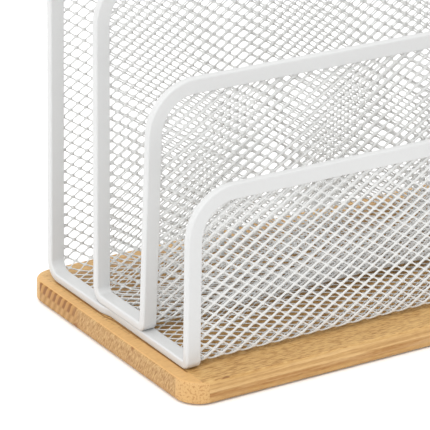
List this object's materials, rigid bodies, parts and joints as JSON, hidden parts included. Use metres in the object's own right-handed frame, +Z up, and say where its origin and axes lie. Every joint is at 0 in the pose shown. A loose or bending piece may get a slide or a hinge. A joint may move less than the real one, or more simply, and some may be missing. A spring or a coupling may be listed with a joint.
{
  "type": "letter sorter",
  "caption": "Desk letter sorter: white wire mesh walls stepping down from back to front, edged with folded steel strip, standing on a bamboo board with round corners.",
  "frame": {"origin": "centre of the lowest face, where the foot pads stand on the desk", "axes": "+Z up, +Y towards the tallest wall at the back, +X to the right seen from the front"},
  "size_m": [0.2486, 0.1226, 0.1765],
  "materials": {
    "bamboo": "satin lacquered side-pressed bamboo, grain along the length",
    "white_powder_coat": "white powder coat, fine orange peel, semi-gloss",
    "white_mesh": "white powder coat on expanded steel mesh",
    "zinc_steel": "zinc plated",
    "clear_pad": "soft translucent non-slip pad"
  },
  "bodies": {
    "root": {"base_board": "bamboo", "outer_tray_frame": "white_powder_coat", "outer_tray_mesh": "white_mesh", "inner_tray_frame": "white_powder_coat", "inner_tray_mesh": "white_mesh", "base_screws": "zinc_steel", "foot_pads": "clear_pad"}
  },
  "joints": []
}
